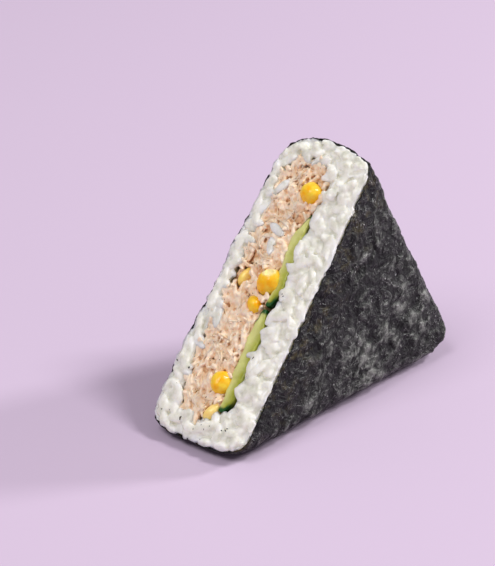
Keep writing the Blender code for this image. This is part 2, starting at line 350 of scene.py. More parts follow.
def dried_seaweed():
    """Nori: seaweed pulp pressed and dried into a sheet. Near black and mottled green-grey, olive beside the cut,
    with a broken satin shine and pale threads of fibre; painted highlight lightens the crowns of its crumples and
    thin lines along them, painted shade blackens its clefts and its foot, and small painted glints fleck its
    crowns."""
    material, place = new_material("dried_seaweed")
    raised = add(material, "Attribute", output="Fac", attribute_name="raised")
    rim = add(material, "Attribute", output="Fac", attribute_name="rim")
    patches = add(material, "TexNoise", {"Vector": place, "Scale": 1 / (9.0 * MM), "Detail": 3.0,
                                         "Roughness": 0.6, "Distortion": 0.5})
    crumple = add(material, "TexNoise", {"Vector": place, "Scale": 1 / (3.0 * MM), "Detail": 5.0,
                                         "Roughness": 0.58, "Distortion": 1.5})
    pulp = add(material, "TexNoise", {"Vector": place, "Scale": 1 / (1.0 * MM), "Detail": 5.0,
                                      "Roughness": 0.62, "Distortion": 0.8})
    # Mottled green-grey in patches and crumple by crumple, less near the cut. The crowns of the relief and of the
    # bumped crumples are painted lighter as painted highlight, and the clefts near black as painted shade.
    mottle_and_painted_relief_shade = add(material, "Math", {0: raised, 1: 0.55, 2: crumple}, operation="MULTIPLY_ADD")
    mottle_and_painted_relief_shade = add(material, "Math", {0: patches, 1: 0.8, 2: mottle_and_painted_relief_shade}, operation="MULTIPLY_ADD")
    mottle_and_painted_relief_shade = add(material, "Math", {0: pulp, 1: 0.6, 2: mottle_and_painted_relief_shade}, operation="MULTIPLY_ADD")
    mottle_and_painted_relief_shade = add(material, "Math", {0: rim, 1: -0.3, 2: mottle_and_painted_relief_shade}, operation="MULTIPLY_ADD")
    mottle_and_painted_relief_shade = add(material, "MapRange", {"Value": mottle_and_painted_relief_shade, "From Min": 0.78, "From Max": 1.60})
    tint = add(material, "ValToRGB", {"Fac": mottle_and_painted_relief_shade}, stops=(
        (0.28, "#010101"), (0.44, "#080907"), (0.60, "#1d1f1b"), (0.78, "#4d504a"), (0.96, "#7f827a")))
    # Olive brown where the sheet is thin beside the cut.
    blotch = add(material, "TexNoise", {"Vector": place, "Scale": 1 / (3.2 * MM), "Detail": 6.0, "Roughness": 0.7})
    brown = add(material, "MapRange", {"Value": blotch, "From Min": 0.52, "From Max": 0.66})
    brown = add(material, "Math", {0: rim, 1: brown}, operation="MULTIPLY")
    tint = add(material, "Mix", {"Factor": brown, "A": tint, "B": colour("#4c4524")}, data_type="RGBA")
    # Pale threads of fibre along the lines where the crumple noise passes its middle, brightened as painted
    # highlight along the crumples.
    curl = add(material, "Math", {0: crumple, 1: 0.52}, operation="SUBTRACT")
    curl = add(material, "Math", {0: curl}, operation="ABSOLUTE")
    thread_and_highlight_line = add(material, "MapRange", {"Value": curl, "From Min": 0.0, "From Max": 0.014, "To Min": 1.0,
                                        "To Max": 0.0})
    broken = add(material, "MapRange", {"Value": pulp, "From Min": 0.50, "From Max": 0.60, "To Max": 0.7})
    thread_and_highlight_line = add(material, "Math", {0: thread_and_highlight_line, 1: broken}, operation="MULTIPLY")
    tint = add(material, "Mix", {"Factor": thread_and_highlight_line, "A": tint, "B": colour("#a9aca4")}, data_type="RGBA")
    # Painted glints: pale specks on the crowns of the crumples, painted highlights drawn coarser than they are.
    specks = add(material, "TexNoise", {"Vector": place, "Scale": 1 / (0.42 * MM), "Detail": 1.0})
    painted_glint = add(material, "MapRange", {"Value": specks, "From Min": 0.66, "From Max": 0.72, "To Max": 0.7})
    crowns = add(material, "MapRange", {"Value": crumple, "From Min": 0.48, "From Max": 0.60})
    painted_glint = add(material, "Math", {0: painted_glint, 1: crowns}, operation="MULTIPLY")
    tint = add(material, "Mix", {"Factor": painted_glint, "A": tint, "B": colour("#c9cbc4")}, data_type="RGBA")
    # Darker at the foot: painted shade low on the sheet beside the floor.
    height = add(material, "SeparateXYZ", {"Vector": place}, output="Z")
    painted_foot_shade = add(material, "MapRange", {"Value": height, "From Min": 0.5 * MM, "From Max": 5.0 * MM,
                                      "To Min": 0.85, "To Max": 0.0})
    tint = add(material, "Mix", {"Factor": painted_foot_shade, "A": tint, "B": colour("#090707")}, data_type="RGBA")
    gloss = add(material, "MapRange", {"Value": crumple, "From Min": 0.40, "From Max": 0.62, "To Min": 0.60,
                                       "To Max": 0.25})
    folds = add(material, "Math", {0: pulp, 1: 0.25, 2: crumple}, operation="MULTIPLY_ADD")
    bump = add(material, "Bump", {"Height": folds, "Strength": 1.0, "Distance": 1.4 * MM})
    shader = add(material, "BsdfPrincipled", {"Base Color": tint, "Roughness": gloss, "Normal": bump,
                                              "IOR": 1.5, "Specular IOR Level": 0.3})
    add(material, "OutputMaterial", {"Surface": shader})
    return material


def steamed_rice():
    """Steamed short grain rice: moist starch, white and a little glassy, with small wet glints."""
    material, place = new_material("steamed_rice")
    body = add(material, "TexNoise", {"Vector": place, "Scale": 1 / (2.2 * MM), "Detail": 4.0, "Roughness": 0.6})
    tint = add(material, "ValToRGB", {"Fac": body}, stops=((0.32, "#d9dac8"), (0.5, "#ecebde"), (0.68, "#f8f7ee")))
    fine = add(material, "TexNoise", {"Vector": place, "Scale": 1 / (0.8 * MM), "Detail": 3.0, "Roughness": 0.6})
    bump = add(material, "Bump", {"Height": fine, "Strength": 0.6, "Distance": 0.16 * MM})
    shader = add(material, "BsdfPrincipled", {
        "Base Color": tint, "Normal": bump, "Roughness": 0.22, "IOR": 1.4, "Subsurface Weight": 1.0,
        "Subsurface Scale": 1.7 * MM, "Subsurface Radius": (1.0, 0.95, 0.85)})
    add(material, "OutputMaterial", {"Surface": shader})
    return material


def shredded_tuna():
    """Tinned tuna in dressing: short muscle fibres, cream to tan, moist, with specks of dark skin; tan and darker
    in its clefts, where dressing pools, with painted shade there.
    """
    material, place = new_material("shredded_tuna")
    tone = add(material, "Attribute", output="Fac", attribute_name="tone")
    body = add(material, "TexNoise", {"Vector": place, "Scale": 1 / (1.5 * MM), "Detail": 6.0, "Roughness": 0.7})
    # Low tone is tan and darker: dressing pooled in the clefts, and painted shade there.
    both = add(material, "Math", {0: tone, 1: 0.5, 2: body}, operation="MULTIPLY_ADD")
    tint = add(material, "ValToRGB", {"Fac": both}, stops=(
        (0.36, "#c99766"), (0.56, "#e7bb8f"), (0.76, "#f2cfa8"), (0.98, "#f9e3c8")))
    specks = add(material, "TexNoise", {"Vector": place, "Scale": 1 / (0.9 * MM), "Detail": 2.0, "Roughness": 0.6})
    skin = add(material, "MapRange", {"Value": specks, "From Min": 0.69, "From Max": 0.72})
    tint = add(material, "Mix", {"Factor": skin, "A": tint, "B": colour("#4a2f1c")}, data_type="RGBA")
    fine = add(material, "TexNoise", {"Vector": place, "Scale": 1 / (0.5 * MM), "Detail": 4.0, "Roughness": 0.6})
    bump = add(material, "Bump", {"Height": fine, "Strength": 0.6, "Distance": 0.2 * MM})
    shader = add(material, "BsdfPrincipled", {
        "Base Color": tint, "Normal": bump, "Roughness": 0.4, "IOR": 1.4, "Subsurface Weight": 0.35,
        "Subsurface Scale": 0.7 * MM, "Subsurface Radius": (1.0, 0.7, 0.5)})
    add(material, "OutputMaterial", {"Surface": shader})
    return material


def cucumber_flesh():
    """Wet cucumber: pale green flesh under a thin dark green rind, darker olive towards one face as painted shade.
    """
    material, place = new_material("cucumber_flesh")
    side = add(material, "Attribute", output="Fac", attribute_name="side")
    rind = add(material, "Attribute", output="Fac", attribute_name="rind")
    body = add(material, "TexNoise", {"Vector": place, "Scale": 1 / (1.8 * MM), "Detail": 4.0, "Roughness": 0.6})
    # Darker olive towards the low side: painted shade on the face turned from the light.
    both = add(material, "Math", {0: body, 1: 0.5, 2: side}, operation="MULTIPLY_ADD")
    tint = add(material, "ValToRGB", {"Fac": both}, stops=((0.25, "#77801f"), (0.50, "#aab043"), (0.90, "#d6d78a")))
    tint = add(material, "Mix", {"Factor": rind, "A": tint, "B": colour("#1d5220")}, data_type="RGBA")
    bump = add(material, "Bump", {"Height": body, "Strength": 0.5, "Distance": 0.2 * MM})
    shader = add(material, "BsdfPrincipled", {
        "Base Color": tint, "Normal": bump, "Roughness": 0.22, "IOR": 1.36, "Subsurface Weight": 0.4,
        "Subsurface Scale": 1.2 * MM, "Subsurface Radius": (0.8, 1.0, 0.4)})
    add(material, "OutputMaterial", {"Surface": shader})
    return material


def cooked_corn():
    """Cooked sweetcorn: tight glossy skin over bright yellow starch, pale where it is cut open."""
    material, place = new_material("cooked_corn")
    pale = add(material, "Attribute", output="Fac", attribute_name="pale")
    body = add(material, "TexNoise", {"Vector": place, "Scale": 1 / (2.4 * MM), "Detail": 3.0, "Roughness": 0.6})
    tint = add(material, "ValToRGB", {"Fac": body}, stops=((0.35, "#ffb608"), (0.65, "#ffdc48")))
    tint = add(material, "Mix", {"Factor": pale, "A": tint, "B": colour("#fde9a6")}, data_type="RGBA")
    fine = add(material, "TexNoise", {"Vector": place, "Scale": 1 / (0.9 * MM), "Detail": 3.0, "Roughness": 0.6})
    bump = add(material, "Bump", {"Height": fine, "Strength": 0.3, "Distance": 0.12 * MM})
    shader = add(material, "BsdfPrincipled", {
        "Base Color": tint, "Normal": bump, "Roughness": 0.2, "IOR": 1.4, "Subsurface Weight": 0.35,
        "Subsurface Scale": 1.0 * MM, "Subsurface Radius": (1.0, 0.8, 0.2)})
    add(material, "OutputMaterial", {"Surface": shader})
    return material


def plain_floor():
    """Painted board: matt and even, pale lilac."""
    material, _ = new_material("plain_floor")
    shader = add(material, "BsdfPrincipled", {"Base Color": colour("#c4b2c7"), "Roughness": 0.9,
                                              "Specular IOR Level": 0.2})
    add(material, "OutputMaterial", {"Surface": shader})
    return material


# ---------------------------------------------------------------- the wrap

def ridge_at(place, size):
    """Sharp creases: 1 along them, falling to 0 between them."""
    return max(1.0 - 3.2 * abs(noise.noise(place / size)), 0.0)


def relief_of_wrap(place):
    """Relief of the sheet in mm: rice pressing through it, crumples, creases and fine wrinkles."""
    warp = noise.noise_vector(place / (3.5 * MM)) * 1.3 * MM
    turned = Matrix.Rotation(BACK_LEAN, 3, "Y") @ (place + warp)
    grains = domes_at(Vector((turned.x, turned.y, turned.z / 2.0)), 2.8 * MM) - 0.6
    near_back = smooth_step(turned.x, 4 * MM, 22 * MM)
    pressed = smooth_step(noise_at(place, 12 * MM, 5.0) + 0.6 * near_back, -0.15, 0.35)
    crumples = domes_at(place + warp * 1.4, 3.3 * MM) - 0.6
    small = domes_at(place + warp * 0.6, 1.7 * MM) - 0.6
    crease = ridge_at(place + warp, 4.2 * MM) * smooth_step(noise_at(place, 8 * MM, 9.0), -0.2, 0.2)
    wrinkles = ridge_at(turned + warp, 1.4 * MM)
    swell = noise_at(place, 9 * MM, 2.0)
    return (0.75 * pressed * grains + 0.48 * (1.0 - 0.7 * pressed) * crumples + 0.14 * small
            + 0.34 * crease + 0.11 * wrinkles + 0.2 * swell - 0.12)


def nori_wrap(material):
    """The sheet: the outer skin of its solid, remade as an even grid, crumpled and given a thickness."""
    skin = copy_of("nori", "nori_wrap")
    middle = sum((Vector(corner) for corner in skin.bound_box), Vector()) / 8

    def hidden(face):
        centre = face.calc_center_median()
        on_cut = abs((centre - FOOT).dot(OUT)) < 0.01 * MM and face.normal.dot(OUT) > 0.9
        return on_cut or face.normal.dot(centre - middle) < 0.0

    edit(skin)
    pick(skin, "faces", hidden)
    bpy.ops.mesh.delete(type="FACE")
    bpy.ops.mesh.select_all(action="SELECT")
    bpy.ops.mesh.tris_convert_to_quads(face_threshold=math.radians(60), shape_threshold=math.radians(60))
    done()
    finish_with(skin, "SUBSURF", levels=2, render_levels=2)
    edit(skin, "EDGE")
    pick(skin, "edges", lambda edge: edge.is_boundary)
    bpy.ops.mesh.extrude_region_move(TRANSFORM_OT_translate={"value": OUT * RIM_REACH})
    bpy.ops.mesh.fill()
    done()
    finish_with(skin, "REMESH", mode="VOXEL", voxel_size=SHEET_GRID)
    finish_with(skin, "SMOOTH", factor=0.5, iterations=5)
    edit(skin)
    bpy.ops.mesh.select_all(action="SELECT")
    bpy.ops.mesh.bisect(plane_co=FOOT, plane_no=OUT, clear_outer=True)
    bpy.ops.mesh.select_all(action="SELECT")
    bpy.ops.mesh.remove_doubles(threshold=SHEET_GRID / 3)
    done()
    relief = [relief_of_wrap(vert.co) for vert in skin.data.vertices]
    depths = [-(CUT_INVERSE @ vert.co).z for vert in skin.data.vertices]
    # The relief heights also colour the sheet: lighter on the crowns as painted highlight, near black in the clefts
    # as painted shade.
    paint(skin, "raised", relief)
    paint(skin, "rim", [1.0 - smooth_step(depth, 0.0, 14 * MM) for depth in depths])
    heights = iter(relief)
    move_points(skin, lambda place, normal: smooth_step(place.z, *FOOT_FADE)
                * (next(heights) * MM - SHEET_INSET))
    TREES["sheet"] = BVHTree.FromObject(skin, bpy.context.evaluated_depsgraph_get())
    for vert, depth in zip(skin.data.vertices, depths):
        ragged = 0.5 + 0.9 * noise_at(vert.co, 2.6 * MM, 3.0) + 0.6 * noise_at(vert.co, 0.9 * MM)
        torn = min(max(ragged, 0.0), 1.0) * (1.0 - smooth_step(depth, 0.0, 1.2 * MM))
        vert.co -= OUT * RIM_TEAR * torn
    skin.data.update()
    skin.vertex_groups.new(name="inner_side")
    finish_with(skin, "SOLIDIFY", thickness=SHEET_THICKNESS, offset=-1.0, shell_vertex_group="inner_side")
    finish_with(skin, "DECIMATE", ratio=HIDDEN_SHARE, vertex_group="inner_side")
    return show(skin, material, "nori", "nori")


# ---------------------------------------------------------------- the rice

def depth_in_sheet(place):
    """The way outwards at the sheet nearest to a place, and how far outside the sheet the place is."""
    up, across, height = CUT_INVERSE @ place
    on_wall = CUT @ Vector((up, across, min(height, 0.0)))
    nearest, normal, _, _ = TREES["sheet"].find_nearest(on_wall)
    return normal, (on_wall - nearest).dot(normal), max(height, 0.0)


def hold_in_sheet(piece):
    """Press a piece back where it would stick through the sheet. Above the cut it may bulge over the rim."""
    for vert in piece.data.vertices:
        normal, beyond, above = depth_in_sheet(vert.co)
        limit = min(RIM_BULGE * above, BULGE_LIMIT) - RIM_GAP
        if beyond > limit:
            vert.co += normal * (limit - beyond)
    piece.data.update()


def slice_rice(rice):
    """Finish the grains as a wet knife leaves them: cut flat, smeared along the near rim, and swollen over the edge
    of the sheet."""
    for vert in rice.data.vertices:
        up, across, height = CUT_INVERSE @ vert.co
        if height < -1.3 * MM:
            continue
        proud = smooth_step(noise_at(vert.co, 7 * MM, 6.0), -0.1, 0.5)
        near_foot = 1.0 - smooth_step(up, 14 * MM, 34 * MM)
        proud = max(proud, near_foot) if across < 0.0 else max(0.5 + 0.5 * proud, near_foot)
        knife = (0.45 + 0.5 * proud) * MM
        target = min(height, knife + KNIFE_PRESS * (height - knife))
        depth = -depth_in_sheet(vert.co)[1]
        if across < 0.0:
            smear = 1.0 - smooth_step(depth, 1.0 * MM, (2.2 + 1.2 * noise_at(vert.co, 5 * MM, 1.0)) * MM)
            smear *= smooth_step(up, 12 * MM, 24 * MM)
            flat = (0.45 + 0.2 * noise_at(vert.co, 2.2 * MM, 8.0)) * MM
            target += 0.8 * smear * (flat - target)
        rim = 1.0 - smooth_step(depth, 0.2 * MM, 1.5 * MM)
        target = max(target, (0.35 * rim - 0.15) * MM)
        target = min(target, (0.35 + 1.2 * smooth_step(depth, 0.1 * MM, 1.6 * MM)) * MM)
        vert.co += OUT * (target - height)
    rice.data.update()


def rice_core(material):
    core = copy_of("rice", "rice_core")
    knife_size = 0.2
    bpy.ops.mesh.primitive_cube_add(size=knife_size)
    knife = bpy.context.object
    knife.matrix_world = CUT @ Matrix.Translation((0.0, 0.0, knife_size / 2 - CORE_DROP))
    finish_with(core, "BOOLEAN", operation="DIFFERENCE", solver="EXACT", object=knife)
    bpy.data.objects.remove(knife)
    finish_with(core, "REMESH", mode="VOXEL", voxel_size=0.8 * MM)
    move_points(core, lambda place, normal: 0.5 * MM * (domes_at(place, 3 * MM) - 0.3))
    hold_in_sheet(core)
    return show(core, material, "rice", "rice")


def rice_bed():
    """The mashed rice between the grains: a slab just under the cut, as wide as the rice is there."""
    bpy.ops.mesh.primitive_grid_add(x_subdivisions=200, y_subdivisions=76, size=1.0)
    bed = bpy.context.object
    bed.data.transform(CUT @ Matrix.Translation((39 * MM, 0.0, BED_TOP))
                       @ Matrix.Diagonal((80 * MM, 30 * MM, 1.0, 1.0)))
    edit(bed)
    pick(bed, "faces", lambda face: not inside("rice", face.calc_center_median() - OUT * 0.6 * MM))
    for _ in range(2):
        bpy.ops.mesh.select_less()
    for _ in range(2):
        bpy.ops.mesh.select_more()
    bpy.ops.mesh.delete(type="FACE")
    done()
    finish_with(bed, "SOLIDIFY", thickness=BED_TOP - BED_FOOT, offset=-1.0)
    return bed


def grain_models():
    """Four cooked grains, long axis along X: plump, bent, and chipped at the germ end."""
    models = []
    for taper, bend in ((0.85, 8), (0.7, 22), (0.8, -15), (0.95, 14)):
        bpy.ops.mesh.primitive_uv_sphere_add(segments=12, ring_count=10, radius=1.0)
        grain = bpy.context.object
        edit(grain, "VERT")
        pick(grain, "verts", lambda vert: vert.co.z > 0.5)
        bpy.ops.transform.resize(value=(taper, taper, 0.94))
        bpy.ops.mesh.select_all(action="DESELECT")
        pick(grain, "verts", lambda vert: vert.co.z > 0.9)
        bpy.ops.transform.translate(value=(0.16, 0.0, -0.08))
        done()
        grain.data.transform(Matrix.Diagonal((GRAIN_DEPTH / 2, GRAIN_WIDTH / 2, GRAIN_LENGTH / 2, 1.0)))
        finish_with(grain, "SIMPLE_DEFORM", deform_method="BEND", deform_axis="X",
                    angle=math.radians(bend))
        grain.data.transform(Matrix.Rotation(math.pi / 2, 4, "Y"))
        models.append(grain)
    return models


def spine(place, length):
    """Three points along a piece's long axis."""
    return [place @ Vector((share * length, 0.0, 0.0)) for share in (-0.3, 0.0, 0.3)]


def free_for_rice(place, clearance):
    """Whether a grain may lie at a place: clear of the sheet, and not over cucumber or corn."""
    up, across, _ = CUT_INVERSE @ place
    sunk = CUT @ Vector((up, across, -1.2 * MM))
    if depth_in_sheet(sunk)[1] > -clearance:
        return False
    lapped = sunk - CUT.col[1].to_3d() * LAP
    return not any(inside(node, lapped) for node in TOPPINGS)


def grain_place(up, across, height, turn, tip, roll, size):
    """The matrix of a grain that lies at a place on the cut."""
    return (CUT @ Matrix.Translation((up, across, height)) @ Matrix.Rotation(turn, 4, "Z")
            @ Matrix.Rotation(tip, 4, "Y") @ Matrix.Rotation(roll, 4, "X") @ Matrix.Scale(size, 4))


def rice_places(chance):
    """Places for grains packed over the cut rice, layer by layer."""
    places = []
    for tries, depth, lean, spacing, reach, clearance in RICE_LAYERS:
        taken = []
        for _ in range(tries):
            up, across = chance.uniform(0, reach) * MM, chance.uniform(-14.5, 14.5) * MM
            turn, tip = chance.uniform(0, math.pi), math.radians(chance.gauss(0, lean))
            roll, size = chance.uniform(0, 2 * math.pi), chance.uniform(0.8, 1.05)
            height = (depth + chance.uniform(-0.25, 0.25)) * MM
            model, tone = chance.randrange(4), chance.random()
            tip *= 1.0 + 1.6 * smooth_step(up, 56 * MM, 66 * MM)
            if not inside("rice", CUT @ Vector((up, across, -1.0 * MM))):
                continue
            place = grain_place(up, across, height, turn, tip, roll, size)
            points = spine(place, GRAIN_LENGTH)
            if any((point - other).length < spacing * MM for point in points for other in taken):
                continue
            if not all(free_for_rice(point, clearance * MM) for point in points):
                continue
            taken += points
            places.append((model, place, tone))
    return places


def thin_hidden(piece, hidden, share):
    """Thin out the part of a piece that nothing shows, down to a share of the whole."""
    unseen = piece.vertex_groups.new(name="unseen")
    unseen.add([vert.index for vert in piece.data.vertices if hidden(vert.co)], 1.0, "REPLACE")
    finish_with(piece, "DECIMATE", ratio=share, vertex_group="unseen")


def rice_grains(material):
    """Grains and the mashed rice between them, as one sticky mass, and a few that strayed on to the tuna."""
    models = grain_models()
    places = rice_places(random.Random(11))
    for number, (up, across, turn) in enumerate(STRAY_GRAINS):
        place = grain_place(up * MM, across * MM, 0.2 * MM, math.radians(turn), 0.1, number, 0.95)
        places.append((number % 4, place, 0.5))
    grains = scatter("rice_grains", models, places)
    discard(models)
    join(grains, rice_bed())
    finish_with(grains, "REMESH", mode="VOXEL", voxel_size=RICE_GRID)
    finish_with(grains, "SMOOTH", factor=0.5, iterations=1)
    thin_hidden(grains, lambda place: (CUT_INVERSE @ place).z < -1.0 * MM, RICE_SHARE)
    slice_rice(grains)
    hold_in_sheet(grains)
    return show(grains, material, "rice", "rice")


# ---------------------------------------------------------------- filling

def nori_crumbs(material):
    """Crumbs of the sheet that the knife left on the rice, most of them low down on the far side."""
    models = []
    for number in range(3):
        bpy.ops.mesh.primitive_circle_add(vertices=7, radius=1.0, fill_type="TRIFAN")
        crumb = bpy.context.object
        for vert in crumb.data.vertices:
            vert.co *= 1.0 + 0.7 * noise.noise(vert.co * 1.7 + Vector((number * 5.0, 0.0, 0.0)))
            vert.co.z += 0.25 * noise.noise(vert.co * 1.3 + Vector((0.0, number * 5.0, 9.0)))
        finish_with(crumb, "SOLIDIFY", thickness=0.18, offset=0.0)
        models.append(crumb)
    chance = random.Random(31)
    rice = BVHTree.FromObject(bpy.data.objects["rice_grains"], bpy.context.evaluated_depsgraph_get())
    places = []
    while len(places) < CRUMB_SPECKS:
        up, across = abs(chance.gauss(0, 24)) * MM, chance.choice((8.0, -2.0)) * MM
        across += chance.gauss(0, 3.5) * MM
        hit, normal, _, _ = rice.ray_cast(CUT @ Vector((up, across, 4 * MM)), -OUT)
        size = chance.choice((0.1, 0.14, 0.18, 0.28)) * MM
        turn = chance.uniform(0, 2 * math.pi)
        stretch = chance.uniform(0.4, 1.0)
        if hit is None or normal.dot(OUT) < 0.6 or (CUT_INVERSE @ hit).z < 0.1 * MM:
            continue
        turned = normal.to_track_quat("Z", "Y").to_matrix().to_4x4() @ Matrix.Rotation(turn, 4, "Z")
        places.append((len(places) % 3, Matrix.Translation(hit + normal * 0.02 * MM) @ turned
                       @ Matrix.Diagonal((size, size * stretch, size, 1.0)), 0.0))
    crumbs = scatter("nori_crumbs", models, places)
    discard(models)
    return show(crumbs, material, "nori", "nori")


def tuna_core(material):
    core = copy_of("tuna_filling", "tuna_core")
    finish_with(core, "REMESH", mode="VOXEL", voxel_size=0.6 * MM)

    def rough(place, normal):
        return MM * (-0.8 + 0.5 * (noise.multi_fractal(place / (2.6 * MM), 0.9, 2.1, 3) - 1.0))

    move_points(core, rough)
    # The core shows only in the gaps, so it takes the lowest tone: tan and darker, as painted shade in the gaps.
    paint(core, "tone", [0.0] * len(core.data.vertices))
    return show(core, material, "tuna", "tuna_filling")


def crumb_models():
    """Crumbs of tuna along X, with ridges of fibre along them."""
    models = []
    for number, (length, width, depth, bend) in enumerate(CRUMBS):
        bpy.ops.mesh.primitive_cylinder_add(vertices=10, radius=1.0, depth=2.0, end_fill_type="TRIFAN")
        crumb = bpy.context.object
        edit(crumb, "EDGE")
        pick(crumb, "edges", lambda edge: abs(edge.verts[0].co.z - edge.verts[1].co.z) > 1.9)
        bpy.ops.mesh.subdivide_edgering(number_cuts=4)
        done()
        for vert in crumb.data.vertices:
            ridge = noise.noise(Vector((vert.co.x * 2.2 + number * 9, vert.co.y * 2.2, vert.co.z * 0.8)))
            taper = 1 - 0.5 * abs(vert.co.z) ** 3
            vert.co.x *= (1 + 0.6 * ridge) * taper
            vert.co.y *= (1 + 0.6 * ridge) * taper
        crumb.data.transform(Matrix.Diagonal((depth / 2 * MM, width / 2 * MM, length / 2 * MM, 1.0)))
        finish_with(crumb, "SIMPLE_DEFORM", deform_method="BEND", deform_axis="X",
                    angle=math.radians(bend))
        crumb.data.transform(Matrix.Rotation(math.pi / 2, 4, "Y"))
        models.append(crumb)
    return models


def tuna_crumbs(material):
    """The mashed tuna: crumbs packed over its solid, as one mass with clefts."""
    chance = random.Random(5)
    places = []
    while len(places) < CRUMB_COUNT:
        up, across = chance.uniform(4, 74) * MM, chance.uniform(-6, 13) * MM
        turn, tip = chance.gauss(FIBRE_LEAN, 0.7), math.radians(chance.gauss(0, 22))
        roll, size = chance.uniform(0, 2 * math.pi), chance.uniform(0.7, 1.15)
        height = chance.uniform(-1.2, 0.2) * MM
        model = chance.choices(range(len(CRUMBS)), (5, 6, 6, 4))[0]
        beside_tip = math.hypot(up - 57.0 * MM, across + 0.6 * MM) < 2.2 * MM
        if beside_tip:
            height -= 0.7 * MM
        if beside_tip or inside("tuna_filling", CUT @ Vector((up, across, -0.6 * MM))):
            places.append((model, grain_place(up, across, height, turn, tip, roll, size), 0.0))
    models = crumb_models()
    crumbs = scatter("tuna_crumbs", models, places)
    discard(models)
    finish_with(crumbs, "REMESH", mode="VOXEL", voxel_size=TUNA_GRID)
    finish_with(crumbs, "SMOOTH", factor=0.5, iterations=1)

    def ragged(place, normal):
        turned = Matrix.Rotation(-FIBRE_LEAN, 3, "Z") @ (CUT_INVERSE.to_3x3() @ place)
        warp = noise.noise_vector(place / (3 * MM)) * 1.2 * MM
        fibre = noise.noise(Vector(((turned.x + warp.x) / 2.6, (turned.y + warp.y) / 0.5, turned.z / 0.7)) / MM)
        return MM * (0.15 * fibre + 0.14 * noise.noise(place / (0.8 * MM)))

    move_points(crumbs, ragged)
    # Tone by height: low in the clefts the tuna is tan and darker, for dressing pooled there and as painted shade.
    paint(crumbs, "tone", [smooth_step((CUT_INVERSE @ vert.co).z, -1.1 * MM, 0.8 * MM)
                           for vert in crumbs.data.vertices])
    TREES["tuna"] = BVHTree.FromObject(crumbs, bpy.context.evaluated_depsgraph_get())
    return show(crumbs, material, "tuna", "tuna_filling")


def fibre_model():
    """One fibre of tuna from 0 to 1 along X, five-sided, thin at both ends."""
    bpy.ops.mesh.primitive_cylinder_add(vertices=5, radius=1.0, depth=1.0, location=(0.0, 0.0, 0.5),
                                        end_fill_type="NGON")
    fibre = bpy.context.object
    fibre.data.transform(Matrix.Rotation(math.pi / 2, 4, "Y") @ Matrix.Translation((0.0, 0.0, 0.5)))
    fibre.matrix_world = Matrix.Identity(4)
    edit(fibre, "EDGE")
    pick(fibre, "edges", lambda edge: abs(edge.verts[0].co.x - edge.verts[1].co.x) > 0.9)
    bpy.ops.mesh.subdivide_edgering(number_cuts=FIBRE_STEPS - 1)
    done()
    for vert in fibre.data.vertices:
        slim = 0.35 + 0.65 * math.sin(math.pi * min(max(vert.co.x, 0.06), 0.94))
        vert.co.y *= slim
        vert.co.z *= slim
    return fibre


def fibre_path(up, across, turn, bend, length):
    """Points of a fibre that lies on the tuna, from a start on the cut, turning as it goes."""
    points = []
    step = length / FIBRE_STEPS
    for _ in range(FIBRE_STEPS + 1):
        above = CUT @ Vector((up, across, 3 * MM))
        hit = TREES["tuna"].ray_cast(above, -OUT)[0]
        height = (CUT_INVERSE @ hit).z if hit is not None else -9 * MM
        points.append(Vector((up, across, height)))
        up += math.cos(turn) * step
        across += math.sin(turn) * step
        turn += bend / FIBRE_STEPS
    return points


def lay_fibre(model, points, radius, lift):
    """A copy of the fibre model that follows the points, eased so that it spans the clefts."""
    heights = [point.z for point in points]
    eased = [max(heights[max(spot - 1, 0):spot + 2]) * 0.5 + sum(heights[max(spot - 1, 0):spot + 2])
             / len(heights[max(spot - 1, 0):spot + 2]) * 0.5 for spot in range(len(points))]
    fibre = model.copy()
    fibre.data = model.data.copy()
    bpy.context.scene.collection.objects.link(fibre)
    for vert in fibre.data.vertices:
        spot = min(int(vert.co.x * FIBRE_STEPS + 0.5), FIBRE_STEPS)
        back, ahead = points[max(spot - 1, 0)], points[min(spot + 1, FIBRE_STEPS)]
        along = Vector((ahead.x - back.x, ahead.y - back.y, 0.0)).normalized()
        beside = Vector((-along.y, along.x, 0.0))
        centre = Vector((points[spot].x, points[spot].y, eased[spot] + lift))
        vert.co = CUT @ (centre + beside * vert.co.y * radius + Vector((0, 0, vert.co.z * radius)))
    return fibre


def tuna_fibres(material):
    """Loose fibres of tuna over the mash. Some curl round the stray grains near the top."""
    chance = random.Random(17)
    model = fibre_model()
    fibres, tones = [], []
    tries = 0
    while len(fibres) < FIBRE_COUNT:
        tries += 1
        up, across = chance.uniform(5, 73) * MM, chance.uniform(-4, 12) * MM
        turn, bend = chance.gauss(FIBRE_LEAN, 0.75), chance.gauss(0, 0.7)
        length, radius = chance.uniform(2.0, 5.0) * MM, chance.uniform(0.15, 0.3) * MM
        if tries % 23 == 0:
            angle, reach = chance.uniform(-1.4, 3.0), chance.uniform(3.4, 5.4) * MM
            centre_up, centre_across = 51.0 * MM, 2.8 * MM
            up = centre_up + math.cos(angle) * reach
            across = centre_across + math.sin(angle) * reach
            length, radius = chance.uniform(2.5, 4.5) * MM, chance.uniform(0.22, 0.38) * MM
            turn, bend = angle + math.pi / 2, length / reach
        points = fibre_path(up, across, turn, bend, length)
        if min(point.z for point in points) < -1.4 * MM:
            continue
        if not all(inside("tuna_filling", CUT @ Vector((point.x, point.y, -0.7 * MM))) for point in points):
            continue
        lift = chance.uniform(-0.12, 0.04) * MM
        fibres.append(lay_fibre(model, points, radius, lift))
        paint(fibres[-1], "tone", [chance.uniform(0.45, 1.0)] * len(fibres[-1].data.vertices))
    discard([model])
    join(fibres[0], *fibres[1:])
    fibres[0].name = "tuna_fibres"
    fibres[0].data.name = "tuna_fibres"
    return show(fibres[0], material, "tuna", "tuna_filling")


